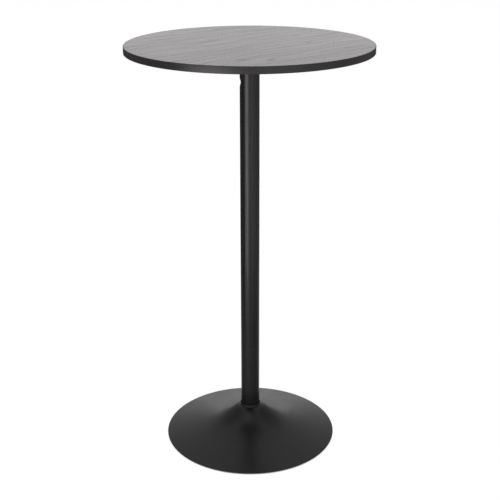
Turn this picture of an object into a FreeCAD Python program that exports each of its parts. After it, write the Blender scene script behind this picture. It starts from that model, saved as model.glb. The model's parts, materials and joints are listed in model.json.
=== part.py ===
import FreeCAD, Part
import math
import os

# Round bar table: a laminated board on a pressed steel plate, one steel tube,
# and a trumpet base of a spun cover over a pressed pan with a cast ballast ring.
# Millimetres, +Z up, origin on the floor under the column's axis.

# Overall size
table_height = 1050.0
top_diameter = 600.0
base_diameter = 451.0

# Table top
board_thickness = 16.0
laminate_thickness = 0.6
backing_thickness = 0.4
band_thickness = 2.0
band_chamfer = 0.8

# Column
column_diameter = 48.3
column_wall = 1.5

# Mounting plate: a shallow square tray, drawn collar, four pressed ribs
plate_side = 190.0
plate_sheet = 3.0
plate_corner = 24.0
plate_depth = 10.0
plate_bend = 1.5
collar_draw = 6.0
rib_bar_radius = 9.0
rib_depth = 5.0
rib_length = 34.0

# Screws that hold the plate to the board, one at the end of each rib
plate_screw_count = 4
plate_screw_pitch = 146.0
plate_screw_start_angle = 45.0
plate_screw_thread = 6.0
plate_screw_length = 14.0
plate_screw_head_diameter = 10.5
plate_screw_head_height = 3.3
plate_screw_head_rim = 1.0
plate_screw_crown_diameter = 6.6
plate_screw_key = 4.0
plate_screw_key_depth = 2.1
plate_washer_diameter = 18.0
plate_washer_thickness = 1.6

# Threaded inserts in the board
insert_diameter = 10.0
insert_length = 13.0
insert_flange_diameter = 14.0
insert_flange_thickness = 1.0
insert_bevel = 0.5

# Bracket stem and its lock screw
stem_length = 120.0
stem_wall = 2.6
lock_drop = 75.0
lock_thread = 10.0
lock_head_diameter = 21.0
lock_screw_length = 20.0
lock_key = 6.0
lock_key_depth = 4.0
nut_block_diameter = 26.0
nut_block_depth = 11.0

# Foot of the column and the bolt that pulls it down
plug_height = 14.0
bolt_thread = 12.0
bolt_length = 26.0
bolt_head_across_flats = 19.0
bolt_head_height = 7.5
bolt_floor_gap = 6.0
base_washer_diameter = 44.0
base_washer_thickness = 3.0
spring_washer_diameter = 21.0
spring_washer_thickness = 2.6
spring_washer_slit = 1.6

# Hub that keeps the column upright
hub_wall = 5.0
hub_height = 34.0
hub_flange_diameter = 92.0
hub_flange_thickness = 5.0
hub_root = 3.0

# Base pan
pan_sheet = 2.5
pan_bend = 4.0
pan_floor_gap = 5.0
pan_centre_diameter = 104.0
pan_cone_width = 16.0
pan_rim_width = 14.0
pan_step_width = 6.0

# Spun cover
cover_sheet = 1.2
neck_height = 79.9
cone_angle = 12.2
flare_length = 26.5
lip_axis_height = 4.0
hem_length = 6.0
cover_point_count = 12
cover_point_spread = 1.2
cover_flare_share = 0.8

# Collar over the mouth of the cover
collar_height = 9.2
collar_wall = 2.6
collar_top_round = 0.6
collar_bottom_chamfer = 1.0

# Ballast ring
ballast_radial_gap = 4.0
ballast_rim_gap = 12.0
ballast_cover_gap = 2.5
ballast_shoulder_width = 28.0
ballast_screw_count = 4
ballast_screw_start_angle = 45.0
ballast_screw_thread = 6.0
ballast_screw_head_diameter = 12.0
ballast_screw_length = 14.0
ballast_screw_key = 4.0
ballast_screw_key_depth = 1.8

# Rubber floor ring
ring_pad = 2.8
ring_pad_width = 10.0
ring_setback = 4.5
ring_upstand = 3.5
ring_chamfer = 0.6

# Fits and small clearances
thread_clearance = 0.05
weld_gap = 0.05
screw_hole_clearance = 0.5
spring_washer_clearance = 0.2
lock_clearance = 0.1
stem_clearance = 0.2
hub_clearance = 0.15
neck_clearance = 0.4
collar_clearance = 0.1
ring_clearance = 0.2
edge_chamfer = 0.8
tap_overrun = 1.5
cut_overrun = 5.0

# Radii that follow from the diameters
top_radius = top_diameter / 2
board_radius = top_radius - band_thickness
base_radius = base_diameter / 2
column_radius = column_diameter / 2
column_bore = column_radius - column_wall
stem_radius = column_bore - stem_clearance
stem_bore = stem_radius - stem_wall
lock_head_radius = lock_head_diameter / 2
lock_hole_radius = lock_head_radius + lock_clearance
plate_screw_radius = plate_screw_pitch / math.sqrt(2)

# Levels of the table top
laminate_level = table_height - laminate_thickness
board_level = laminate_level - board_thickness
underside_level = board_level - backing_thickness
plate_level = underside_level - plate_sheet
column_top_level = plate_level - collar_draw
lock_level = underside_level - lock_drop

# Levels of the foot
bolt_head_level = bolt_floor_gap
spring_washer_level = bolt_head_level + bolt_head_height
base_washer_level = spring_washer_level + spring_washer_thickness
pan_centre_level = base_washer_level + base_washer_thickness
column_foot_level = pan_centre_level + pan_sheet

# Line of the cover: a cone to the rim, with a bell-shaped flare at the neck
cone_slope = math.tan(math.radians(cone_angle))
cone_sine = math.sin(math.radians(cone_angle))
cone_cosine = math.cos(math.radians(cone_angle))
cover_bore = column_radius + neck_clearance
lip_axis_radius = base_radius - cover_sheet
rim_reach = lip_axis_radius + cover_sheet * cone_sine
rim_level = lip_axis_height + cover_sheet * cone_cosine
mouth_radius = cover_bore + cover_sheet * cone_sine
flare_rise = neck_height - rim_level - (rim_reach - mouth_radius) * cone_slope

# Edges that meet at the rim
hem_root_radius = lip_axis_radius - cover_sheet * cone_sine
hem_root_level = lip_axis_height - cover_sheet * cone_cosine
hem_end_radius = hem_root_radius - hem_length * cone_cosine
upstand_outer_radius = hem_end_radius - ring_clearance
upstand_inner_radius = upstand_outer_radius - ring_upstand
pan_radius = upstand_inner_radius - ring_clearance

UP = FreeCAD.Vector(0, 0, 1)
AHEAD = FreeCAD.Vector(1, 0, 0)
ORIGIN = FreeCAD.Vector(0, 0, 0)


def at_height(level):
    return FreeCAD.Vector(0, 0, level)


def disc(radius, bottom, top):
    return Part.makeCylinder(radius, top - bottom, at_height(bottom))


def tube(outer_radius, inner_radius, bottom, top):
    bore = disc(inner_radius, bottom - cut_overrun, top + cut_overrun)
    return disc(outer_radius, bottom, top).cut(bore)


def rounded_corner(before, corner, after):
    """Start, middle and end of the arc that rounds one corner (x, z, radius) of an outline."""
    place = FreeCAD.Vector(corner[0], 0, corner[1])
    radius = corner[2]
    if radius == 0:
        return place, place, place
    to_before = (FreeCAD.Vector(before[0], 0, before[1]) - place).normalize()
    to_after = (FreeCAD.Vector(after[0], 0, after[1]) - place).normalize()
    half_angle = to_before.getAngle(to_after) / 2
    bisector = (to_before + to_after).normalize()
    reach = radius / math.tan(half_angle)
    middle = place + bisector * (radius / math.sin(half_angle) - radius)
    return place + to_before * reach, middle, place + to_after * reach


def outline(corners):
    """Closed wire in the XZ plane through corners (x, z, radius), each rounded by its radius."""
    count = len(corners)
    bends = [rounded_corner(corners[i - 1], corners[i], corners[(i + 1) % count]) for i in range(count)]
    edges = []
    for i in range(count):
        start, middle, end = bends[i]
        if corners[i][2] > 0:
            edges.append(Part.Arc(start, middle, end).toShape())
        edges.append(Part.LineSegment(end, bends[(i + 1) % count][0]).toShape())
    return Part.Wire(edges)


def turned(wire):
    """Solid of revolution of a closed wire about the Z axis."""
    return Part.Face(wire).revolve(ORIGIN, UP, 360)


def sheet_outline(path, sheet):
    """Section of bent sheet over a path of (x, z, bend) corners, with the sheet above the path."""
    points = [FreeCAD.Vector(x, 0, z) for x, z, bend in path]
    runs = [(points[i + 1] - points[i]).normalize() for i in range(len(points) - 1)]
    normals = [FreeCAD.Vector(-run.z, 0, run.x) for run in runs]
    lower = []
    upper = []
    for i, (x, z, bend) in enumerate(path):
        first = normals[max(i - 1, 0)]
        second = normals[min(i, len(normals) - 1)]
        shift = (first + second) * (sheet / (1 + first.dot(second)))
        turns_up = first.cross(second).y < 0
        lower.append((x, z, bend + sheet if bend and turns_up else bend))
        upper.append((x + shift.x, z + shift.z, bend + sheet if bend and not turns_up else bend))
    return outline(lower + upper[::-1])


def hexagon(across_flats, bottom, height):
    """Upright hexagonal prism on the Z axis."""
    corner_radius = across_flats / math.sqrt(3)
    corners = []
    for i in range(7):
        angle = math.radians(60 * i)
        along = FreeCAD.Vector(math.cos(angle), math.sin(angle), 0)
        corners.append(at_height(bottom) + along * corner_radius)
    return Part.Face(Part.makePolygon(corners)).extrude(at_height(height))


def around(shape, count, start_angle, radius):
    """Copies of a shape from the axis, spaced evenly on a circle."""
    copies = []
    for i in range(count):
        copy = shape.copy()
        copy.translate(AHEAD * radius)
        copy.rotate(ORIGIN, UP, start_angle + 360 * i / count)
        copies.append(copy)
    return copies


def group(shapes):
    return Part.makeCompound(shapes)


def to_lock_axis(shape):
    """Turns a piece made upright on the Z axis so that its +Z points out along -X at the lock screw."""
    placed = shape.copy()
    placed.rotate(ORIGIN, FreeCAD.Vector(0, 1, 0), -90)
    placed.translate(at_height(lock_level))
    return placed


def cover_level(radius):
    """Height of the cover's outer face."""
    flare = flare_rise / math.cosh((radius - mouth_radius) / flare_length)
    return rim_level + (rim_reach - radius) * cone_slope + flare


def cover_fall(radius):
    """Slope of the cover's outer face, as an angle."""
    reach = (radius - mouth_radius) / flare_length
    return math.atan(cone_slope + flare_rise / flare_length * math.sinh(reach) / math.cosh(reach) ** 2)


def below_cover(radius, gap):
    """Height that lies a gap below the cover's inner face."""
    return cover_level(radius) - (cover_sheet + gap) / math.cos(cover_fall(radius))


def cover_point(radius, depth):
    """Point at a depth below the cover's outer face, square to it."""
    fall = cover_fall(radius)
    return FreeCAD.Vector(radius - depth * math.sin(fall), 0, cover_level(radius) - depth * math.cos(fall))


def cover_edges(last_radius, depth):
    """Spline down the flare and line down the cone at a depth below the face, with their two ends."""
    flare_reach = (rim_reach - mouth_radius) * cover_flare_share
    points = []
    for i in range(cover_point_count):
        share = i / (cover_point_count - 1)
        points.append(cover_point(mouth_radius + flare_reach * share ** cover_point_spread, depth))
    curve = Part.BSplineCurve()
    curve.interpolate(points)
    end = cover_point(last_radius, depth)
    return [curve.toShape(), Part.LineSegment(points[-1], end).toShape()], points[0], end


def hem_level(radius):
    """Height of the hem's underside."""
    return hem_root_level + (hem_root_radius - radius) * cone_slope


def socket_screw_hole(radius, level, depth):
    """Cutter for a tapped blind hole with a drilled point, open at its level and going up."""
    wall = disc(radius, level - cut_overrun, level + depth)
    point = Part.makeCone(radius, 0, radius / 2, at_height(level + depth))
    return wall.fuse(point)


def plate_screw_places(shape):
    return around(shape, plate_screw_count, plate_screw_start_angle, plate_screw_radius)


def insert_flange_seat(top):
    """Cutter for the flange of an insert, up to a level."""
    return disc(insert_flange_diameter / 2 + weld_gap, underside_level - cut_overrun, top)


def make_tabletop_core():
    board = disc(board_radius, board_level, laminate_level)
    hole = disc(insert_diameter / 2 + weld_gap, board_level - cut_overrun, underside_level + insert_length)
    seat = insert_flange_seat(underside_level + insert_flange_thickness)
    return board.cut(plate_screw_places(hole.fuse(seat)))


def make_top_laminate():
    return disc(board_radius, laminate_level, table_height)


def make_backing_laminate():
    sheet = disc(board_radius, underside_level, board_level)
    return sheet.cut(plate_screw_places(insert_flange_seat(board_level + cut_overrun)))


def make_edge_band():
    corners = [
        (board_radius, underside_level, 0),
        (top_radius - band_chamfer, underside_level, 0),
        (top_radius, underside_level + band_chamfer, 0),
        (top_radius, table_height - band_chamfer, 0),
        (top_radius - band_chamfer, table_height, 0),
        (board_radius, table_height, 0),
    ]
    return turned(outline(corners))


def make_insert_nuts():
    """Knock-in nuts: a flange, a body bevelled at both ends and a tapped bore."""
    outer = insert_diameter / 2
    flange = insert_flange_diameter / 2
    bore = plate_screw_thread / 2
    shoulder = underside_level + insert_flange_thickness
    end = underside_level + insert_length
    nut = turned(outline([
        (bore, underside_level, 0),
        (flange, underside_level, 0),
        (flange, shoulder, 0),
        (outer - insert_bevel, shoulder, 0),
        (outer, shoulder + insert_bevel, 0),
        (outer, end - insert_bevel, 0),
        (outer - insert_bevel, end, 0),
        (bore, end, 0),
    ]))
    return group(plate_screw_places(nut))


def make_plate_screws():
    """Button-head screws with a hexagon socket, heads down."""
    shank = plate_screw_thread / 2 - thread_clearance
    head = plate_screw_head_diameter / 2
    seat = plate_level - plate_washer_thickness
    tip = seat + plate_screw_length
    base = seat - plate_screw_head_height
    screw = turned(outline([
        (0, base, 0),
        (plate_screw_crown_diameter / 2, base, 0),
        (head, seat - plate_screw_head_rim, 0),
        (head, seat, 0),
        (shank, seat, 0),
        (shank, tip - edge_chamfer, 0),
        (shank - edge_chamfer, tip, 0),
        (0, tip, 0),
    ]))
    socket = hexagon(plate_screw_key, base - cut_overrun, cut_overrun + plate_screw_key_depth)
    return group(plate_screw_places(screw.cut(socket)))


def make_plate_washers():
    hole = plate_screw_thread / 2 + screw_hole_clearance
    washer = tube(plate_washer_diameter / 2, hole, plate_level - plate_washer_thickness, plate_level)
    return group(plate_screw_places(washer))


def rounded_slab(side, corner, bottom, height):
    """Square slab with rounded upright edges, centred on the axis."""
    slab = Part.makeBox(side, side, height, FreeCAD.Vector(-side / 2, -side / 2, bottom))
    uprights = [edge for edge in slab.Edges if edge.BoundBox.ZLength > height / 2]
    return slab.makeFillet(corner, uprights)


def round_top_edges(shape, radius):
    """Rounds the loop of edges round a slab's upper face."""
    middle = shape.BoundBox.Center.z
    loop = [edge for edge in shape.Edges if edge.BoundBox.ZMin > middle]
    return shape.makeFillet(radius, loop)


def rib_bar(radius):
    """Bar with ball ends, lying outward at the middle of a rib."""
    axis_level = plate_level - rib_depth + rib_bar_radius
    middle = (stem_radius + plate_screw_radius) / 2
    start = FreeCAD.Vector(middle - rib_length / 2, 0, axis_level)
    end = FreeCAD.Vector(middle + rib_length / 2, 0, axis_level)
    bar = Part.makeCylinder(radius, rib_length, start, AHEAD)
    return bar.fuse([Part.makeSphere(radius, start), Part.makeSphere(radius, end)])


def make_mounting_plate():
    """Deep-drawn square tray with a drawn collar round the stem and ribs towards the screws."""
    bottom = underside_level - plate_depth
    blank = rounded_slab(plate_side, plate_corner, bottom, plate_depth)
    skin = round_top_edges(blank, plate_bend + plate_sheet)
    inner_side = plate_side - 2 * plate_sheet
    inner_height = plate_depth - plate_sheet + cut_overrun
    hollow = rounded_slab(inner_side, plate_corner - plate_sheet, bottom - cut_overrun, inner_height)
    tray = skin.cut(round_top_edges(hollow, plate_bend))

    bore = stem_radius + weld_gap
    wall = bore + plate_sheet
    collar = turned(outline([
        (bore, underside_level, 0),
        (bore, column_top_level, 0),
        (wall, column_top_level, 0),
        (wall, plate_level, plate_bend),
        (wall + 2 * plate_bend, plate_level, 0),
        (wall + 2 * plate_bend, underside_level, 0),
    ]))

    swell = rib_bar(rib_bar_radius).common(blank)
    groove = rib_bar(rib_bar_radius - plate_sheet)
    swells = around(swell, plate_screw_count, plate_screw_start_angle, 0)
    grooves = around(groove, plate_screw_count, plate_screw_start_angle, 0)

    hole_radius = plate_screw_thread / 2 + screw_hole_clearance
    holes = plate_screw_places(disc(hole_radius, bottom, table_height))
    opening = disc(bore, column_top_level - cut_overrun, table_height)
    plate = tray.fuse([collar] + swells)
    return plate.cut(grooves + holes + [opening]).removeSplitter()


def lock_face_reach():
    """Distance from the axis to the lock screw's face, the chord across its hole in the column."""
    return math.sqrt(column_radius ** 2 - lock_hole_radius ** 2)


def lock_cutter():
    """Countersunk hole for the lock screw, upright, with its mouth upward."""
    face = lock_face_reach()
    thread_radius = lock_thread / 2
    throat = face - lock_hole_radius + thread_radius
    return turned(outline([
        (0, 0, 0),
        (thread_radius, 0, 0),
        (thread_radius, throat, 0),
        (lock_hole_radius, face, 0),
        (lock_hole_radius, column_radius + cut_overrun, 0),
        (0, column_radius + cut_overrun, 0),
    ]))


def make_bracket_stem():
    """Tube welded in the plate's collar, with the countersink for the lock screw."""
    bottom = underside_level - stem_length
    corners = [
        (stem_bore, bottom, 0),
        (stem_radius - edge_chamfer, bottom, 0),
        (stem_radius, bottom + edge_chamfer, 0),
        (stem_radius, underside_level, 0),
        (stem_bore, underside_level, 0),
    ]
    return turned(outline(corners)).cut(to_lock_axis(lock_cutter()))


def make_stem_nut_block():
    """Round tapped block with its back curved to the inside of the stem."""
    block = to_lock_axis(disc(nut_block_diameter / 2, stem_bore - nut_block_depth, stem_bore))
    span = nut_block_diameter
    inside = disc(stem_bore - weld_gap, lock_level - span, lock_level + span)
    return block.common(inside).cut(to_lock_axis(lock_cutter()))


def make_stem_lock_screw():
    """Countersunk screw with a hexagon socket, its face on the chord of its hole."""
    face = lock_face_reach()
    shank = lock_thread / 2 - thread_clearance
    tip = face - lock_screw_length
    corners = [
        (0, tip, 0),
        (shank - edge_chamfer, tip, 0),
        (shank, tip + edge_chamfer, 0),
        (shank, face - lock_head_radius + shank, 0),
        (lock_head_radius, face, 0),
        (0, face, 0),
    ]
    socket = hexagon(lock_key, face - lock_key_depth, lock_key_depth + cut_overrun)
    return to_lock_axis(turned(outline(corners)).cut(socket))


def make_column_tube():
    pipe = tube(column_radius, column_bore, column_foot_level, column_top_level)
    return pipe.cut(to_lock_axis(disc(lock_hole_radius, 0, column_radius + cut_overrun)))


def make_column_foot_plug():
    """Tapped steel plug welded in the foot of the column."""
    rim = column_bore - weld_gap
    bore = bolt_thread / 2
    top = column_foot_level + plug_height
    return turned(outline([
        (bore + edge_chamfer, column_foot_level, 0),
        (rim - edge_chamfer, column_foot_level, 0),
        (rim, column_foot_level + edge_chamfer, 0),
        (rim, top, 0),
        (bore, top, 0),
        (bore, column_foot_level + edge_chamfer, 0),
    ]))


def make_collar_ring():
    bore = column_radius + collar_clearance
    top = neck_height + collar_height
    return turned(outline([
        (bore, neck_height, 0),
        (bore + collar_wall - collar_bottom_chamfer, neck_height, 0),
        (bore + collar_wall, neck_height + collar_bottom_chamfer, 0),
        (bore + collar_wall, top, collar_top_round),
        (bore, top, 0),
    ]))


def make_base_cover():
    """Spun steel trumpet, one sheet thick, with a rolled lip and a hem folded back under the rim."""
    outer, mouth_outside, rim = cover_edges(rim_reach, 0)
    inner, mouth_inside, hem_top = cover_edges(rim_reach - hem_length * cone_cosine, cover_sheet)
    lip_axis = FreeCAD.Vector(lip_axis_radius, 0, lip_axis_height)
    lip = lip_axis + FreeCAD.Vector(cone_cosine, 0, -cone_sine) * cover_sheet
    hem_root = FreeCAD.Vector(hem_root_radius, 0, hem_root_level)
    hem_end = FreeCAD.Vector(hem_end_radius, 0, hem_level(hem_end_radius))
    edges = outer + [
        Part.Arc(rim, lip, hem_root).toShape(),
        Part.LineSegment(hem_root, hem_end).toShape(),
        Part.LineSegment(hem_end, hem_top).toShape(),
    ]
    edges += inner[::-1]
    edges.append(Part.LineSegment(mouth_inside, mouth_outside).toShape())
    return turned(Part.Wire(edges))


def make_base_hub():
    """Turned flange and sleeve, welded on the pan."""
    bore = column_radius + hub_clearance
    sleeve = bore + hub_wall
    flange = hub_flange_diameter / 2
    step = column_foot_level + hub_flange_thickness
    top = column_foot_level + hub_height
    return turned(outline([
        (bore, column_foot_level, 0),
        (flange, column_foot_level, 0),
        (flange, step - edge_chamfer, 0),
        (flange - edge_chamfer, step, 0),
        (sleeve + hub_root, step, 0),
        (sleeve, step + hub_root, 0),
        (sleeve, top - edge_chamfer, 0),
        (sleeve - edge_chamfer, top, 0),
        (bore, top, 0),
    ]))


def pan_floor_edge():
    """Radius where the pan's floor starts to step down to its rim."""
    return pan_radius - pan_rim_width - pan_step_width


def pan_cone_foot():
    """Radius where the pan's raised centre meets its floor."""
    return pan_centre_diameter / 2 + pan_cone_width


def ballast_inner_radius():
    return pan_cone_foot() + ballast_radial_gap


def ballast_shoulder_radius():
    """Radius where the ballast is thickest and starts to follow the cover down."""
    return ballast_inner_radius() + ballast_shoulder_width


def ballast_screw_places(shape):
    return around(shape, ballast_screw_count, ballast_screw_start_angle, ballast_shoulder_radius())


def ballast_screw_sink():
    """Cutter for a screw's countersunk head, which passes through the pan into the ballast."""
    head = ballast_screw_head_diameter / 2
    thread = ballast_screw_thread / 2
    return Part.makeCone(head, thread, head - thread, at_height(pan_floor_gap))


def make_base_pan():
    """Pressed disc: raised centre for the bolt, floor for the ballast, rim on the rubber ring."""
    bolt_hole = bolt_thread / 2 + screw_hole_clearance
    pan = turned(sheet_outline([
        (bolt_hole, pan_centre_level, 0),
        (pan_centre_diameter / 2, pan_centre_level, pan_bend),
        (pan_cone_foot(), pan_floor_gap, pan_bend),
        (pan_floor_edge(), pan_floor_gap, 0),
        (pan_radius - pan_rim_width, ring_pad, 0),
        (pan_radius, ring_pad, 0),
    ], pan_sheet))
    thread = ballast_screw_thread / 2
    through = disc(thread, pan_floor_gap - cut_overrun, pan_floor_gap + pan_sheet + cut_overrun)
    return pan.cut(ballast_screw_places(ballast_screw_sink().fuse(through)))


def make_ballast_ring():
    """Cast ring that fills the cone under the cover, tapped from below."""
    seat = pan_floor_gap + pan_sheet
    outer = pan_floor_edge() - ballast_rim_gap
    top = below_cover(ballast_shoulder_radius(), ballast_cover_gap)
    ring = turned(outline([
        (ballast_inner_radius(), seat, 0),
        (outer, seat, 0),
        (outer, below_cover(outer, ballast_cover_gap), 0),
        (ballast_shoulder_radius(), top, 0),
        (ballast_inner_radius(), top, 0),
    ]))
    depth = ballast_screw_length - pan_sheet + tap_overrun
    hole = socket_screw_hole(ballast_screw_thread / 2, seat, depth)
    return ring.cut(ballast_screw_places(hole.fuse(ballast_screw_sink())))


def make_ballast_screws():
    """Countersunk screws with hexagon sockets, flush with the underside of the pan."""
    head = ballast_screw_head_diameter / 2 - thread_clearance
    shank = ballast_screw_thread / 2 - thread_clearance
    tip = pan_floor_gap + ballast_screw_length
    screw = turned(outline([
        (0, pan_floor_gap, 0),
        (head, pan_floor_gap, 0),
        (shank, pan_floor_gap + head - shank, 0),
        (shank, tip - edge_chamfer, 0),
        (shank - edge_chamfer, tip, 0),
        (0, tip, 0),
    ]))
    socket_depth = cut_overrun + ballast_screw_key_depth
    socket = hexagon(ballast_screw_key, pan_floor_gap - cut_overrun, socket_depth)
    return group(ballast_screw_places(screw.cut(socket)))


def make_base_washer():
    hole = bolt_thread / 2 + screw_hole_clearance
    return tube(base_washer_diameter / 2, hole, base_washer_level, pan_centre_level)


def make_base_lock_washer():
    """Split spring washer."""
    hole = bolt_thread / 2 + spring_washer_clearance
    radius = spring_washer_diameter / 2
    ring = tube(radius, hole, spring_washer_level, base_washer_level)
    corner = FreeCAD.Vector(0, -spring_washer_slit / 2, spring_washer_level)
    slit = Part.makeBox(radius + cut_overrun, spring_washer_slit, spring_washer_thickness, corner)
    return ring.cut(slit)


def make_base_bolt():
    """Hexagon bolt from below, its head raised off the floor."""
    flat_radius = bolt_head_across_flats / 2
    corner_radius = bolt_head_across_flats / math.sqrt(3)
    shank = bolt_thread / 2 - thread_clearance
    tip = spring_washer_level + bolt_length
    prism = hexagon(bolt_head_across_flats, bolt_head_level, bolt_head_height)
    bevel = (corner_radius - flat_radius) * math.tan(math.radians(30))
    blank = turned(outline([
        (0, bolt_head_level, 0),
        (flat_radius, bolt_head_level, 0),
        (corner_radius, bolt_head_level + bevel, 0),
        (corner_radius, spring_washer_level, 0),
        (0, spring_washer_level, 0),
    ]))
    stud = turned(outline([
        (0, spring_washer_level - bevel, 0),
        (shank, spring_washer_level - bevel, 0),
        (shank, tip - edge_chamfer, 0),
        (shank - edge_chamfer, tip, 0),
        (0, tip, 0),
    ]))
    return prism.common(blank).fuse(stud).removeSplitter()


def make_floor_ring():
    """Moulded rubber ring: a pad under the pan, an upstand round it and a shelf under the hem."""
    inner = upstand_inner_radius - ring_pad_width
    outer = base_radius - ring_setback
    crest = below_cover(upstand_outer_radius, ring_clearance)
    return turned(outline([
        (inner + ring_chamfer, 0, 0),
        (outer - ring_chamfer, 0, 0),
        (outer, ring_chamfer, 0),
        (outer, hem_level(outer), 0),
        (upstand_outer_radius, hem_level(upstand_outer_radius), 0),
        (upstand_outer_radius, crest, 0),
        (upstand_inner_radius, crest, 0),
        (upstand_inner_radius, ring_pad, 0),
        (inner, ring_pad, 0),
        (inner, ring_chamfer, 0),
    ]))


nodes = {
    "tabletop_core": make_tabletop_core,
    "top_laminate": make_top_laminate,
    "backing_laminate": make_backing_laminate,
    "edge_band": make_edge_band,
    "insert_nuts": make_insert_nuts,
    "plate_screws": make_plate_screws,
    "plate_washers": make_plate_washers,
    "mounting_plate": make_mounting_plate,
    "bracket_stem": make_bracket_stem,
    "stem_nut_block": make_stem_nut_block,
    "stem_lock_screw": make_stem_lock_screw,
    "column_tube": make_column_tube,
    "column_foot_plug": make_column_foot_plug,
    "collar_ring": make_collar_ring,
    "base_cover": make_base_cover,
    "base_hub": make_base_hub,
    "base_pan": make_base_pan,
    "ballast_ring": make_ballast_ring,
    "ballast_screws": make_ballast_screws,
    "base_washer": make_base_washer,
    "base_lock_washer": make_base_lock_washer,
    "base_bolt": make_base_bolt,
    "floor_ring": make_floor_ring,
}

os.makedirs("parts", exist_ok=True)
for name, make in nodes.items():
    make().exportStep("parts/" + name + ".step")
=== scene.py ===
import json
import math
import bpy
from mathutils import Matrix, Vector


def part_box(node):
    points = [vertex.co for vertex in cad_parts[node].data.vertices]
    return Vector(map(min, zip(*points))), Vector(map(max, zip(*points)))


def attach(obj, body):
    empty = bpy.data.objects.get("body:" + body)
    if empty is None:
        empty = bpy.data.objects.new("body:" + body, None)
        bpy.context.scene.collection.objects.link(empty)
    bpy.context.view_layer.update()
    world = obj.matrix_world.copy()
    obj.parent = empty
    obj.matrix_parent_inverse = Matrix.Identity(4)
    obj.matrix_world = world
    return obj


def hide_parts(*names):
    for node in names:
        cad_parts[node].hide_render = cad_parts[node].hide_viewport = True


# Looks of the round bar table: materials for every CAD node, finely shaped small parts,
# a white studio and the photograph's camera. Metres, same frame as the CAD model.

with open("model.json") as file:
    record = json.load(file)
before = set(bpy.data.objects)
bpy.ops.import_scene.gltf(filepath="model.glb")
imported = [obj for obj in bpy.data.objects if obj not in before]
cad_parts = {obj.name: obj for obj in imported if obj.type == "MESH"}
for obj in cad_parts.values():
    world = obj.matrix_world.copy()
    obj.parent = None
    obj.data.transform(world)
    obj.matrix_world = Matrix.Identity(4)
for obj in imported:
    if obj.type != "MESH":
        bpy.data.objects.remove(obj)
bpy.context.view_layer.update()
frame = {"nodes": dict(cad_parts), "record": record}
nodes = frame["nodes"]

# Camera of the photograph
image_width_px = 500.0
focal_px = 1001.05
camera_distance = 2.4021
camera_height = 1.43174
camera_pitch = 0.36099
camera_roll = -0.00218

# Smoothness of turned pieces
fine_segments = 240
small_segments = 48
arc_steps = 6
crease_angle = math.radians(32)

# Small parts. The main sizes are the CAD model's, and the fine ones, such as roundings, pitches,
# socket lips and the collar's lip and groove, are this model's own.
band_round = 0.0011
collar_bore = 0.02425
collar_chamfer = 0.0003
collar_round = 0.0001
collar_lip = 0.0003
collar_lean = 0.0006
collar_drop = 0.0029
collar_groove = 0.0035
washer_round = 0.0003
washer_radius = 0.009
washer_clearance = 0.0005
button_head_radius = 0.00525
button_head_height = 0.0033
button_head_rim = 0.0009
button_key = 0.004
button_key_depth = 0.0021
button_thread = 0.006
button_pitch = 0.001
sunk_head_radius = 0.00595
sunk_key = 0.004
sunk_key_depth = 0.0018
lock_head_radius = 0.0105
lock_thread = 0.01
lock_pitch = 0.0015
lock_key = 0.006
lock_key_depth = 0.004
bolt_thread = 0.012
bolt_pitch = 0.00175
bolt_across_flats = 0.019
bolt_head_height = 0.0075
bolt_bevel = math.radians(30)
bolt_top_share = 0.97
bolt_face_share = 0.98
bolt_face_step = 0.0004
thread_depth_share = 0.61
thread_gap = 0.00005
thread_steps_per_turn = 8
socket_lip = 0.00025

# Wood grain. A scale is in repeats per metre along the grain, across it and through it.
grain_turn = math.radians(-40)
warp_scale = (2.0, 9.0, 1.0)
warp_reach = (0.0, 0.05, 0.0)
streak_scale = (3.0, 42.0, 1.0)
strand_scale = (7.0, 130.0, 1.0)
fibre_scale = (14.0, 420.0, 1.0)
knot_scale = (5.0, 13.0, 1.0)
ring_stretch = (0.16, 1.0, 1.0)
ring_shift = (-0.02, 0.17, 0.0)
ring_scale = 14.0
ring_wander = 5.0
line_range = (0.86, 1.0)
pore_range = (0.62, 0.72)
knot_range = (0.03, 0.085)
knot_chance = (0.5, 0.52)
line_darkness = 0.75
knot_darkness = 0.85
pore_darkness = 0.4
line_dullness = 0.55
knot_dullness = 0.9

# Textures. A scale is in repeats per metre, and a range says between which values of a noise
# a colour or a gloss changes.
wide_range = (0.3, 0.7)
narrow_range = (0.35, 0.65)
tone_range = (0.38, 0.62)
dust_range = (0.45, 0.8)
warm_tint = (1.0, 0.955, 0.975)
peel_scale = 620.0
speck_scale = 2600.0
spun_ring_pitch = 0.0045
scratch_scale = (900.0, 60.0, 900.0)
scratch_turn = math.radians(30)

# Studio, as seen from the table. A region has a heading in degrees from the camera's side toward
# +X, a half width in degrees, and its lower and upper sine of elevation, then its brightness.
# It is at full strength over the core, a share of its half width, and fades to its edge.
# The regions add up, and a negative brightness dims the others.
studio_centre = 0.6
studio_core = 0.4
studio_soft = 0.06
studio_dim = 0.24
wall_regions = [
    (180, 25, 0.0, 0.22, 0.97),
    (180, 40, 0.22, 0.56, 0.3),
    (180, 50, 0.56, 0.8, 0.24),
]
ceiling_regions = [
    (180, 180, 0.8, 1.2, 0.28),
    (-15, 55, 0.82, 1.1, 0.5),
]
# On the floor, which shows the studio to reflections, the ground regions are painted pools of light,
# and painted shade where negative.
far_ground_regions = [
    (172, 68, -1.1, -0.45, 0.3),
    (185, 65, -0.65, -0.06, -0.2),
]
near_ground_regions = [
    (0, 22, -0.35, 0.1, 0.39),
    (0, 55, -1.2, -0.37, 0.15),
    (-38, 36, -1.2, -0.36, 0.16),
]
left_regions = [
    (-22, 18, -0.45, 0.0, 0.77),
    (-38, 22, -0.45, 0.0, 2.17),
    (-38, 18, -0.22, 0.0, 0.35),
    (-92, 26, -0.6, 0.05, -0.1),
]
right_regions = [
    (26, 22, -0.45, 0.2, 0.58),
    (60, 30, -0.45, 0.1, 0.36),
    (100, 35, -0.45, 0.0, 0.1),
]
studio_regions = wall_regions + ceiling_regions + far_ground_regions
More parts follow.
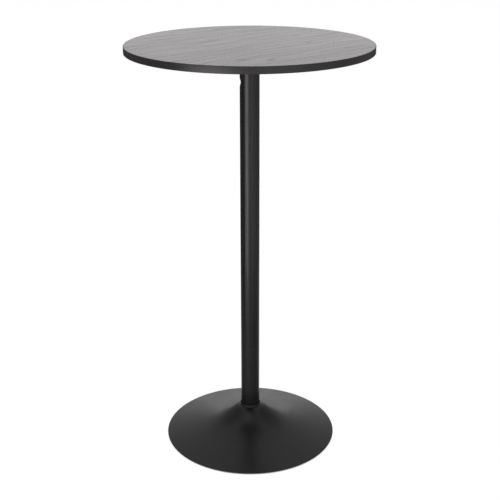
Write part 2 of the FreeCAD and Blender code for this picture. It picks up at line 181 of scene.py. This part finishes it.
studio_regions += near_ground_regions + left_regions + right_regions

# Floor and lamps
floor_reach = 12.0
paper_grain_scale = 300.0
paper_glow = 0.962
paper_shade = 0.09
# Contact shadow: ambient occlusion dims the paper's glow near the table to the contact shade's share, a
# painted shadow.
contact_reach = 0.0035
contact_shade = 0.15
contact_range = (0.55, 0.9)
key_spot = (-1.6, -2.0, 2.2)
key_aim = (0, 0, 0.7)
key_size = 1.4
key_power = 10.0
overhead_spot = (0.0, -0.4, 3.0)
overhead_aim = (0, 0, 0.9)
overhead_size = 2.0
overhead_power = 36.0


# Meshes

def round_ring(radius):
    """Radius of a ring at any angle: a circle."""
    return lambda angle: radius


def hexagon_ring(across_flats):
    """Radius of a ring at any angle: a hexagon."""
    sixth = math.pi / 3
    return lambda angle: across_flats / 2 / math.cos(angle % sixth - sixth / 2)


def thread_ring(major_radius, depth, turn):
    """Radius of a ring at any angle: one level of a helical thread."""
    def radius(angle):
        phase = (turn - angle / (2 * math.pi)) % 1
        return major_radius - depth * abs(2 * phase - 1)
    return radius


def skin(name, rows, segments, closed_section=False):
    """Mesh through rings about the Z axis. A row is (height, radius at an angle)."""
    points = []
    for height, radius in rows:
        for i in range(segments):
            angle = 2 * math.pi * i / segments
            reach = radius(angle)
            points.append((reach * math.cos(angle), reach * math.sin(angle), height))
    faces = []
    last = len(rows) if closed_section else len(rows) - 1
    for row in range(last):
        start = row * segments
        above = (row + 1) % len(rows) * segments
        for i in range(segments):
            j = (i + 1) % segments
            faces.append((start + i, start + j, above + j, above + i))
    if not closed_section:
        faces.append(tuple(range(segments))[::-1])
        faces.append(tuple(range(len(points) - segments, len(points))))
    mesh = bpy.data.meshes.new(name)
    mesh.from_pydata(points, [], faces)
    mesh.validate()
    mesh.shade_smooth()
    mesh.set_sharp_from_angle(angle=crease_angle)
    return mesh


def rounded(corners):
    """Closed section through corners (radius, height, rounding), as (height, radius) points."""
    points = []
    count = len(corners)
    for i, (x, z, rounding) in enumerate(corners):
        corner = Vector((x, z))
        if rounding == 0:
            points.append(corner)
            continue
        before = (Vector(corners[i - 1][:2]) - corner).normalized()
        after = (Vector(corners[(i + 1) % count][:2]) - corner).normalized()
        half_angle = before.angle(after) / 2
        centre = corner + (before + after).normalized() * (rounding / math.sin(half_angle))
        start = corner + before * (rounding / math.tan(half_angle)) - centre
        end = corner + after * (rounding / math.tan(half_angle)) - centre
        for step in range(arc_steps + 1):
            outward = start.slerp(end, step / arc_steps).normalized()
            points.append(centre + outward * rounding)
    return points


def turned(name, corners, segments):
    """Mesh of a ring-shaped piece, turned from a closed section."""
    rows = [(point.y, round_ring(point.x)) for point in rounded(corners)]
    return skin(name, rows, segments, closed_section=True)


def place(name, mesh, node, slot, place_matrix=None):
    """Object that stands for a CAD node, riding on the table's one body."""
    piece = bpy.data.objects.new(name, mesh)
    bpy.context.scene.collection.objects.link(piece)
    if place_matrix is not None:
        piece.matrix_world = place_matrix
    mesh.materials.clear()
    mesh.materials.append(materials[slot])
    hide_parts(node)
    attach(piece, "root")


# Material nodes

clear_white = (1.0, 1.0, 1.0)
mix_first_color = 6
mix_second_color = 7
mix_result_color = 2


def opaque(color):
    return (*color, 1.0)


def shaded(color, factor):
    return opaque([value * factor for value in color])


class Graph:
    """One material and short calls that build its nodes."""

    def __init__(self, name, color, roughness, metallic=0.0, specular=0.5, tint=clear_white):
        self.material = bpy.data.materials.new(name)
        self.material.use_nodes = True
        self.tree = self.material.node_tree
        self.shader = self.tree.nodes["Principled BSDF"]
        self.shader.inputs["Base Color"].default_value = opaque(color)
        self.shader.inputs["Roughness"].default_value = roughness
        self.shader.inputs["Metallic"].default_value = metallic
        self.shader.inputs["Specular IOR Level"].default_value = specular
        self.shader.inputs["Specular Tint"].default_value = opaque(tint)

    def node(self, kind, inputs=None, **settings):
        """Node of a kind, with its settings, and its inputs linked or set."""
        made = self.tree.nodes.new("ShaderNode" + kind)
        for key, value in settings.items():
            setattr(made, key, value)
        for key, value in (inputs or {}).items():
            if isinstance(value, bpy.types.NodeSocket):
                self.tree.links.new(value, made.inputs[key])
            else:
                made.inputs[key].default_value = value
        return made

    def vector(self, operation, first, second=(0.0, 0.0, 0.0)):
        return self.node("VectorMath", {0: first, 1: second}, operation=operation).outputs[0]

    def mapped(self, vector, scale, shift=(0.0, 0.0, 0.0)):
        return self.node("Mapping", {"Vector": vector, "Location": shift, "Scale": scale}).outputs[0]

    def coords(self, scale=(1.0, 1.0, 1.0), turn=0.0):
        """Object coordinates in metres, turned about Z, then scaled."""
        source = self.node("TexCoord").outputs["Object"]
        turned_to = self.node("Mapping", {"Vector": source, "Rotation": (0.0, 0.0, turn)})
        return self.mapped(turned_to.outputs[0], scale)

    def noise(self, vector, scale=1.0, detail=2.0, roughness=0.5):
        inputs = {"Vector": vector, "Scale": scale, "Detail": detail, "Roughness": roughness}
        return self.node("TexNoise", inputs).outputs["Fac"]

    def spread(self, value, span, to_low=0.0, to_high=1.0, smooth=False):
        """A value from one range carried to another, clamped."""
        inputs = {
            "Value": value,
            "From Min": span[0],
            "From Max": span[1],
            "To Min": to_low,
            "To Max": to_high,
        }
        course = "SMOOTHSTEP" if smooth else "LINEAR"
        return self.node("MapRange", inputs, interpolation_type=course).outputs["Result"]

    def math(self, operation, first, second=0.0):
        return self.node("Math", {0: first, 1: second}, operation=operation).outputs[0]

    def weighted(self, *terms):
        """Sum of values, each times its weight."""
        total = None
        for value, weight in terms:
            share = self.math("MULTIPLY", value, weight)
            total = share if total is None else self.math("ADD", total, share)
        return total

    def mix(self, factor, first, second):
        """Colour between two colours."""
        inputs = {"Factor": factor, mix_first_color: first, mix_second_color: second}
        return self.node("Mix", inputs, data_type="RGBA").outputs[mix_result_color]

    def color(self, source):
        self.tree.links.new(source, self.shader.inputs["Base Color"])

    def roughness(self, source):
        self.tree.links.new(source, self.shader.inputs["Roughness"])

    def bump(self, height, distance):
        """Relief of a height from 0 to 1, scaled to a distance in metres."""
        made = self.node("Bump", {"Height": height, "Distance": distance, "Strength": 1.0})
        self.tree.links.new(made.outputs["Normal"], self.shader.inputs["Normal"])


# Materials

def grain_laminate(name):
    """Charcoal wood-grain laminate: long streaks, cathedral lines, a few knots and short pores."""
    light = opaque((0.092, 0.067, 0.071))
    dark = opaque((0.051, 0.034, 0.037))
    figure = opaque((0.022, 0.020, 0.021))
    graph = Graph(name, (0.1, 0.1, 0.1), 0.42, specular=0.55, tint=(1.0, 0.985, 0.99))
    warp = graph.noise(graph.coords(warp_scale, grain_turn))
    sway = graph.vector("MULTIPLY", warp, warp_reach)
    bent = graph.vector("ADD", graph.coords(turn=grain_turn), sway)
    streaks = graph.noise(graph.mapped(bent, streak_scale), detail=4.0, roughness=0.6)
    strands = graph.noise(graph.mapped(bent, strand_scale), detail=3.0, roughness=0.6)
    fibres = graph.noise(graph.mapped(bent, fibre_scale), detail=3.0, roughness=0.6)
    rings = {
        "Vector": graph.mapped(bent, ring_stretch, ring_shift),
        "Scale": ring_scale,
        "Distortion": ring_wander,
        "Detail": 2.0,
        "Detail Scale": 2.0,
    }
    waves = graph.node("TexWave", rings, wave_type="RINGS", rings_direction="Z").outputs["Fac"]
    lines = graph.spread(waves, line_range)
    pores = graph.spread(fibres, pore_range)
    spots = {"Vector": graph.mapped(bent, knot_scale), "Scale": 1.0}
    cells = graph.node("TexVoronoi", spots, voronoi_dimensions="2D").outputs
    near = graph.spread(cells["Distance"], knot_range, 1.0, 0.0, smooth=True)
    chance = graph.node("SeparateColor", {"Color": cells["Color"]}).outputs[0]
    knots = graph.math("MULTIPLY", near, graph.spread(chance, knot_chance))
    tone = graph.weighted((streaks, 0.45), (strands, 0.4), (fibres, 0.15))
    body = graph.mix(graph.spread(tone, tone_range), dark, light)
    lined = graph.mix(graph.math("MULTIPLY", lines, line_darkness), body, figure)
    spotted = graph.mix(graph.math("MULTIPLY", knots, knot_darkness), lined, figure)
    graph.color(graph.mix(graph.math("MULTIPLY", pores, pore_darkness), spotted, figure))
    dull_knots = graph.math("MULTIPLY", knots, knot_dullness)
    dull_lines = graph.math("MULTIPLY", lines, line_dullness)
    dents = graph.math("MAXIMUM", dull_knots, dull_lines)
    gloss = graph.weighted((tone, 1.0), (dents, -0.3))
    graph.roughness(graph.spread(gloss, (0.3, 0.62), 0.285, 0.22))
    graph.bump(graph.weighted((strands, 0.5), (pores, -0.5)), distance=0.00006)
    return graph.material


def fine_plastic(name, color, roughness, grain_size, depth):
    """Moulded or pressed plastic with an even fine texture and a faint cloudiness."""
    graph = Graph(name, color, roughness, tint=warm_tint)
    texture = graph.noise(graph.coords(), scale=1 / grain_size, detail=3.0, roughness=0.55)
    clouds = graph.spread(graph.noise(graph.coords(), scale=9.0), wide_range)
    graph.color(graph.mix(clouds, shaded(color, 0.85), shaded(color, 1.25)))
    graph.roughness(graph.spread(texture, wide_range, roughness - 0.05, roughness + 0.06))
    graph.bump(texture, depth)
    return graph.material


def powder_coat(name, color, roughness, peel_depth, spun=0.0):
    """Black powder coat: orange peel, a little haze, and faint rings where the sheet was spun."""
    graph = Graph(name, color, roughness, tint=warm_tint)
    peel = graph.noise(graph.coords(), peel_scale, roughness=0.45)
    specks = graph.noise(graph.coords(), speck_scale, detail=1.0)
    haze = graph.noise(graph.coords(), scale=14.0, detail=3.0, roughness=0.6)
    graph.color(graph.mix(graph.spread(haze, wide_range), shaded(color, 0.8), shaded(color, 1.3)))
    graph.roughness(graph.spread(haze, wide_range, roughness - 0.03, roughness + 0.04))
    terms = [(peel, 0.75), (specks, 0.25)]
    if spun:
        flat = graph.vector("MULTIPLY", graph.coords(), (1.0, 1.0, 0.0))
        reach = graph.node("VectorMath", {0: flat}, operation="LENGTH").outputs["Value"]
        rings = graph.math("SINE", graph.math("MULTIPLY", reach, 2 * math.pi / spun_ring_pitch))
        terms.append((rings, spun))
    graph.bump(graph.weighted(*terms), peel_depth)
    return graph.material


def fibreboard(name):
    """Raw fibreboard: short matted fibres in two browns."""
    brown = opaque((0.3, 0.2, 0.12))
    straw = opaque((0.5, 0.37, 0.24))
    graph = Graph(name, (0.42, 0.3, 0.19), 0.85, specular=0.2)
    fibres = graph.noise(graph.coords((1.0, 1.0, 4.0)), scale=900.0, detail=4.0, roughness=0.7)
    clouds = graph.noise(graph.coords(), scale=40.0)
    tone = graph.weighted((fibres, 0.7), (clouds, 0.3))
    graph.color(graph.mix(graph.spread(tone, narrow_range), brown, straw))
    graph.bump(fibres, distance=0.0002)
    return graph.material


def plated_steel(name, color, roughness, tint):
    """Plated or bare steel: cloudy tint, fine scratches and uneven gloss."""
    graph = Graph(name, color, roughness, metallic=1.0)
    clouds = graph.noise(graph.coords(), scale=160.0, detail=3.0, roughness=0.6)
    scratches = graph.noise(graph.coords(scratch_scale, scratch_turn))
    graph.color(graph.mix(graph.spread(clouds, narrow_range), opaque(color), opaque(tint)))
    graph.roughness(graph.spread(clouds, wide_range, roughness - 0.06, roughness + 0.1))
    graph.bump(scratches, distance=0.00001)
    return graph.material


def rough_cast(name):
    """Primed cast iron: lumpy sand texture."""
    dark = opaque((0.07, 0.07, 0.072))
    stained = opaque((0.13, 0.125, 0.12))
    graph = Graph(name, (0.1, 0.1, 0.1), 0.75, metallic=0.3)
    lumps = graph.noise(graph.coords(), scale=380.0, detail=4.0, roughness=0.65)
    stains = graph.noise(graph.coords(), scale=30.0, detail=3.0)
    graph.color(graph.mix(graph.spread(stains, narrow_range), dark, stained))
    graph.bump(lumps, distance=0.0004)
    return graph.material


def soft_rubber(name):
    """Matt moulded rubber with a little dust in its texture."""
    clean = opaque((0.017, 0.017, 0.017))
    dusty = opaque((0.04, 0.039, 0.037))
    graph = Graph(name, (0.018, 0.018, 0.018), 0.72, specular=0.35)
    texture = graph.noise(graph.coords(), scale=1400.0, detail=3.0, roughness=0.6)
    dust = graph.noise(graph.coords(), scale=70.0, detail=3.0, roughness=0.6)
    graph.color(graph.mix(graph.spread(dust, dust_range), clean, dusty))
    graph.bump(texture, distance=0.00012)
    return graph.material


materials = {
    "grain_laminate": grain_laminate("grain_laminate"),
    "backing_sheet": fine_plastic("backing_sheet", (0.028, 0.027, 0.027), roughness=0.6,
                                  grain_size=0.0009, depth=0.00006),
    "edge_plastic": fine_plastic("edge_plastic", (0.024, 0.0228, 0.0232), roughness=0.36,
                                 grain_size=0.0006, depth=0.00003),
    "board": fibreboard("board"),
    "black_coat": powder_coat("black_coat", (0.0105, 0.0101, 0.0101), roughness=0.27,
                              peel_depth=0.000006),
    "plate_coat": powder_coat("plate_coat", (0.016, 0.016, 0.0165), roughness=0.45,
                              peel_depth=0.00005),
    "collar_plastic": fine_plastic("collar_plastic", (0.022, 0.0215, 0.0215), roughness=0.32,
                                   grain_size=0.0008, depth=0.00003),
    "zinc_steel": plated_steel("zinc_steel", (0.56, 0.57, 0.59), roughness=0.3,
                               tint=(0.66, 0.65, 0.6)),
    "dark_steel": plated_steel("dark_steel", (0.05, 0.05, 0.052), roughness=0.38,
                               tint=(0.08, 0.078, 0.075)),
    "bare_steel": plated_steel("bare_steel", (0.42, 0.42, 0.43), roughness=0.34,
                               tint=(0.52, 0.5, 0.47)),
    "pan_coat": powder_coat("pan_coat", (0.018, 0.018, 0.019), roughness=0.55,
                            peel_depth=0.00005),
    "cast": rough_cast("cast"),
    "floor_rubber": soft_rubber("floor_rubber"),
}
spun_coat = powder_coat("spun_coat", (0.0105, 0.0101, 0.0101), roughness=0.3,
                        peel_depth=0.00003, spun=0.25)


def dress_nodes():
    """Gives each CAD node the material of its slot, and the spun cover its own."""
    for part in frame["record"]["subparts"]:
        spun = part["node"] == "base_cover"
        slots = nodes[part["node"]].data.materials
        slots.clear()
        slots.append(spun_coat if spun else materials[part["material_slot"]])


# Small parts

def make_edge_band():
    """Plastic band with rounded edges."""
    low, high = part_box("edge_band")
    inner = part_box("top_laminate")[1].x
    corners = [
        (inner, low.z, 0),
        (high.x, low.z, band_round),
        (high.x, high.z, band_round),
        (inner, high.z, 0),
    ]
    mesh = turned("edge_band_rounded", corners, fine_segments)
    place("edge_band_rounded", mesh, "edge_band", "edge_plastic")


def make_collar():
    """Collar ring with soft edges and a groove round the tube, which shows as a dark line."""
    low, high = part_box("collar_ring")
    lip_level = high.z - collar_drop
    lip_reach = high.x - collar_lean
    corners = [
        (collar_bore, low.z, 0),
        (high.x - collar_chamfer, low.z, 0),
        (high.x, low.z + collar_chamfer, collar_round),
        (lip_reach, lip_level, collar_round),
        (lip_reach - collar_lip, lip_level, 0),
        (collar_bore, lip_level - collar_groove, 0),
    ]
    mesh = turned("collar_fine", corners, fine_segments)
    place("collar_fine", mesh, "collar_ring", "collar_plastic")


def make_washers():
    """Stamped washers with softened edges, one under each plate screw and one under the bolt."""
    low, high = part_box("plate_washers")
    reach = high.x - washer_radius
    half = (high.z - low.z) / 2
    hole = button_thread / 2 + washer_clearance
    section = washer_section(hole, washer_radius, -half, half)
    mesh = turned("plate_washer", section, small_segments)
    for i, (x, y) in enumerate(four_places(reach)):
        spot = Matrix.Translation((x, y, (low.z + high.z) / 2))
        place("plate_washer_" + str(i + 1), mesh, "plate_washers", "zinc_steel", spot)
    low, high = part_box("base_washer")
    hole = bolt_thread / 2 + washer_clearance
    section = washer_section(hole, high.x, low.z, high.z)
    mesh = turned("base_washer_soft", section, small_segments * 2)
    place("base_washer_soft", mesh, "base_washer", "zinc_steel")


def washer_section(hole, radius, bottom, top):
    """Corners of a washer's section, all softened."""
    return [
        (hole, bottom, washer_round),
        (radius, bottom, washer_round),
        (radius, top, washer_round),
        (hole, top, washer_round),
    ]


def four_places(reach):
    """Corners of a square about the axis."""
    return [(reach, reach), (-reach, reach), (-reach, -reach), (reach, -reach)]


def thread_rows(start, end, diameter, pitch):
    """Rows of a helical thread from one height to another."""
    count = int(round(abs(end - start) / pitch * thread_steps_per_turn))
    major = diameter / 2 - thread_gap
    rows = []
    for i in range(count + 1):
        height = start + (end - start) * i / count
        rows.append((height, thread_ring(major, pitch * thread_depth_share, height / pitch)))
    return rows


def socket_rows(key, depth, top):
    """Rows of a hexagon socket sunk from a top face, from its floor to the lip round its mouth."""
    mouth = key / math.sqrt(3) + socket_lip
    return [
        (top + depth, hexagon_ring(key)),
        (top + socket_lip, hexagon_ring(key)),
        (top, round_ring(mouth)),
    ]


def tip_row(end, diameter, pitch):
    """Last row of a screw: its flat tip, as wide as the thread's root."""
    return end, round_ring(diameter / 2 - thread_gap - pitch * thread_depth_share)


def make_plate_screws():
    """Button-head socket screws, heads down, with real threads."""
    low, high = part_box("plate_screws")
    seat = low.z + button_head_height
    reach = high.x - button_head_radius
    rows = socket_rows(button_key, button_key_depth, low.z)
    crown = button_key / math.sqrt(3) + 2 * socket_lip
    rim_level = seat - button_head_rim
    for step in range(1, arc_steps + 1):
        angle = math.pi / 2 * step / arc_steps
        level = rim_level - (rim_level - low.z) * math.cos(angle)
        rows.append((level, round_ring(crown + (button_head_radius - crown) * math.sin(angle))))
    rows.append((seat, round_ring(button_head_radius)))
    rows += thread_rows(seat, high.z - button_pitch, button_thread, button_pitch)
    rows.append(tip_row(high.z, button_thread, button_pitch))
    mesh = skin("button_screw", rows, small_segments)
    for i, (x, y) in enumerate(four_places(reach)):
        spot = Matrix.Translation((x, y, 0))
        place("button_screw_" + str(i + 1), mesh, "plate_screws", "zinc_steel", spot)


def make_ballast_screws():
    """Countersunk socket screws, flush with the underside of the pan."""
    low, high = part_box("ballast_screws")
    reach = high.x - sunk_head_radius
    shank = button_thread / 2 - thread_gap
    neck_level = low.z + sunk_head_radius - shank
    rows = socket_rows(sunk_key, sunk_key_depth, low.z)
    rows.append((low.z, round_ring(sunk_head_radius - socket_lip)))
    rows.append((low.z + socket_lip, round_ring(sunk_head_radius)))
    rows += thread_rows(neck_level, high.z - button_pitch, button_thread, button_pitch)
    rows.append(tip_row(high.z, button_thread, button_pitch))
    mesh = skin("sunk_screw", rows, small_segments)
    for i, (x, y) in enumerate(four_places(reach)):
        spot = Matrix.Translation((x, y, 0))
        place("sunk_screw_" + str(i + 1), mesh, "ballast_screws", "zinc_steel", spot)


def make_lock_screw():
    """Countersunk socket screw high on the column, facing -X."""
    low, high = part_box("stem_lock_screw")
    shank = lock_thread / 2 - thread_gap
    length = high.x - low.x
    rows = socket_rows(lock_key, lock_key_depth, 0)
    rows.append((0, round_ring(lock_head_radius - socket_lip)))
    rows.append((socket_lip, round_ring(lock_head_radius)))
    rows += thread_rows(lock_head_radius - shank, length - lock_pitch, lock_thread, lock_pitch)
    rows.append(tip_row(length, lock_thread, lock_pitch))
    mesh = skin("lock_screw", rows, small_segments)
    middle = Vector((low.x, 0, (low.z + high.z) / 2))
    inward = Matrix.Translation(middle) @ Matrix.Rotation(math.pi / 2, 4, "Y")
    place("lock_screw", mesh, "stem_lock_screw", "dark_steel", inward)


def make_base_bolt():
    """Hexagon bolt seen from below, with bevelled corners, a washer face and a thread."""
    low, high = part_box("base_bolt")
    flat = bolt_across_flats / 2
    corner = bolt_across_flats / math.sqrt(3)
    bevel = (corner - flat) * math.tan(bolt_bevel)
    seat = low.z + bolt_head_height
    face = hexagon_ring(bolt_across_flats)

    def bevelled(drop):
        limit = flat + drop / math.tan(bolt_bevel)
        return lambda angle: min(face(angle), limit)

    rows = [(low.z, round_ring(flat * bolt_top_share))]
    for step in range(arc_steps + 1):
        drop = bevel * step / arc_steps
        rows.append((low.z + drop, bevelled(drop)))
    rows.append((seat - bolt_face_step, face))
    rows.append((seat - bolt_face_step, round_ring(flat * bolt_face_share)))
    rows.append((seat, round_ring(flat * bolt_face_share)))
    rows += thread_rows(seat, high.z - bolt_pitch, bolt_thread, bolt_pitch)
    rows.append(tip_row(high.z, bolt_thread, bolt_pitch))
    mesh = skin("base_bolt_threaded", rows, small_segments * 2)
    place("base_bolt_threaded", mesh, "base_bolt", "zinc_steel")


# Studio

def window(graph, value, low, high):
    """One between two levels of a value, nothing outside them, with soft ends."""
    rise = graph.spread(value, (low - studio_soft, low + studio_soft), smooth=True)
    fall = graph.spread(value, (high - studio_soft, high + studio_soft), 1.0, 0.0, smooth=True)
    return graph.math("MULTIPLY", rise, fall)


def studio_glow(graph, direction):
    """Brightness of the studio in a direction seen from the table: the sum of its regions."""
    split = graph.node("SeparateXYZ", {0: direction}).outputs
    flat = graph.node("CombineXYZ", {"X": split["X"], "Y": split["Y"]}).outputs[0]
    heading = graph.vector("NORMALIZE", flat)
    total = studio_dim
    for azimuth, half_width, low, high, strength in studio_regions:
        toward = (math.sin(math.radians(azimuth)), -math.cos(math.radians(azimuth)), 0.0)
        aligned = graph.node("VectorMath", {0: heading, 1: toward}, operation="DOT_PRODUCT")
        edge = math.cos(math.radians(half_width))
        core = math.cos(math.radians(half_width * studio_core))
        sideways = graph.spread(aligned.outputs["Value"], (edge, core), 0.0, strength, smooth=True)
        upright = window(graph, split["Z"], low, high)
        total = graph.math("ADD", total, graph.math("MULTIPLY", sideways, upright))
    return total


def plain_sight(graph, rays):
    """One for a ray of the camera or a ray that came through glass, and nothing for the others."""
    return graph.math("MAXIMUM", rays["Is Camera Ray"], rays["Is Transmission Ray"])


def floor_material():
    """White paper: white to the camera, with a painted contact shadow and the lamps' soft shadow, and
    the studio's glow in reflections.
    """
    graph = Graph("studio_paper", (0.8, 0.8, 0.8), 0.9, specular=0.1)
    grain = graph.noise(graph.coords(), paper_grain_scale)
    graph.color(graph.mix(grain, opaque((0.78, 0.78, 0.78)), opaque((0.82, 0.82, 0.82))))
    reach = graph.vector("ADD", graph.coords(), (0.0, 0.0, -studio_centre))
    direction = graph.vector("NORMALIZE", reach)
    rays = graph.node("LightPath").outputs
    plain = plain_sight(graph, rays)
    # Painted contact shadow: ambient occlusion dims the paper's glow where the table stands close to
    # it.
    openness = graph.node("AmbientOcclusion", {"Distance": contact_reach}, samples=8).outputs["AO"]
    dimmed = contact_shade * paper_glow
    painted_shadow_glow = graph.spread(openness, contact_range, dimmed, paper_glow, smooth=True)
    glow = graph.node("Emission", {"Color": opaque(clear_white), "Strength": painted_shadow_glow})
    shade = opaque((paper_shade, paper_shade, paper_shade))
    paper = graph.node("BsdfDiffuse", {"Color": shade})
    shown = graph.node("AddShader", {0: glow.outputs[0], 1: paper.outputs[0]})
    # Painted reflections: to glossy rays the paper glows with the studio's regions, pools of light and
    # shade painted on the floor.
    mirrored = graph.node("Emission", {"Strength": studio_glow(graph, direction)})
    lit = graph.node("MixShader", {
        0: rays["Is Glossy Ray"],
        1: graph.shader.outputs[0],
        2: mirrored.outputs[0],
    })
    chosen = graph.node("MixShader", {0: plain, 1: lit.outputs[0], 2: shown.outputs[0]})
    surface = graph.tree.nodes["Material Output"].inputs["Surface"]
    graph.tree.links.new(chosen.outputs[0], surface)
    graph.material.cycles.emission_sampling = "NONE"
    return graph.material


def make_stage():
    """Floor under the table."""
    mesh = bpy.data.meshes.new("floor")
    corners = [(x, y, 0) for x, y in four_places(floor_reach)]
    mesh.from_pydata(corners, [], [(0, 1, 2, 3)])
    floor = bpy.data.objects.new("floor", mesh)
    bpy.context.scene.collection.objects.link(floor)
    mesh.materials.append(floor_material())


class WorldGraph(Graph):
    """The world's own nodes, with the calls of a material's graph."""

    def __init__(self, name):
        self.world = bpy.data.worlds.new(name)
        self.world.use_nodes = True
        self.tree = self.world.node_tree
        self.tree.nodes.clear()


def make_world():
    """White to the camera and through glass, and the studio's regions to everything else."""
    graph = WorldGraph("studio")
    direction = graph.node("TexCoord").outputs["Generated"]
    plain = plain_sight(graph, graph.node("LightPath").outputs)
    glow = studio_glow(graph, direction)
    room = graph.node("Background", {"Color": opaque(clear_white), "Strength": glow})
    white = graph.node("Background", {"Color": opaque(clear_white), "Strength": 1.0})
    mixed = graph.node("MixShader", {0: plain, 1: room.outputs[0], 2: white.outputs[0]})
    surface = graph.node("OutputWorld").inputs["Surface"]
    graph.tree.links.new(mixed.outputs[0], surface)
    bpy.context.scene.world = graph.world


def soft_lamp(name, spot, target, size, power):
    """Square soft light for the table's own colours, which no surface mirrors."""
    data = bpy.data.lights.new(name, "AREA")
    data.shape = "SQUARE"
    data.size = size
    data.energy = power
    lamp = bpy.data.objects.new(name, data)
    bpy.context.scene.collection.objects.link(lamp)
    lamp.location = spot
    aim = Vector(target) - Vector(spot)
    lamp.rotation_euler = aim.to_track_quat("-Z", "Y").to_euler()
    lamp.visible_glossy = False


def make_lamps():
    """Key light from the left and a larger one overhead."""
    soft_lamp("key", key_spot, key_aim, key_size, key_power)
    soft_lamp("overhead", overhead_spot, overhead_aim, overhead_size, overhead_power)


def make_camera():
    """Camera in the photograph's place, looking a little down."""
    data = bpy.data.cameras.new("photo_camera")
    data.lens = focal_px / image_width_px * data.sensor_width
    camera = bpy.data.objects.new("photo_camera", data)
    bpy.context.scene.collection.objects.link(camera)
    forward = Vector((0, math.cos(camera_pitch), -math.sin(camera_pitch)))
    right = Vector((1, 0, 0))
    up = right.cross(forward)
    across = right * math.cos(camera_roll) + up * math.sin(camera_roll)
    upward = up * math.cos(camera_roll) - right * math.sin(camera_roll)
    turn = Matrix((across, upward, -forward)).transposed().to_4x4()
    camera.matrix_world = Matrix.Translation((0, -camera_distance, camera_height)) @ turn
    bpy.context.scene.camera = camera


dress_nodes()
make_edge_band()
make_collar()
make_washers()
make_plate_screws()
make_ballast_screws()
make_lock_screw()
make_base_bolt()
make_stage()
make_world()
make_lamps()
make_camera()
bpy.context.scene.view_settings.view_transform = "Standard"
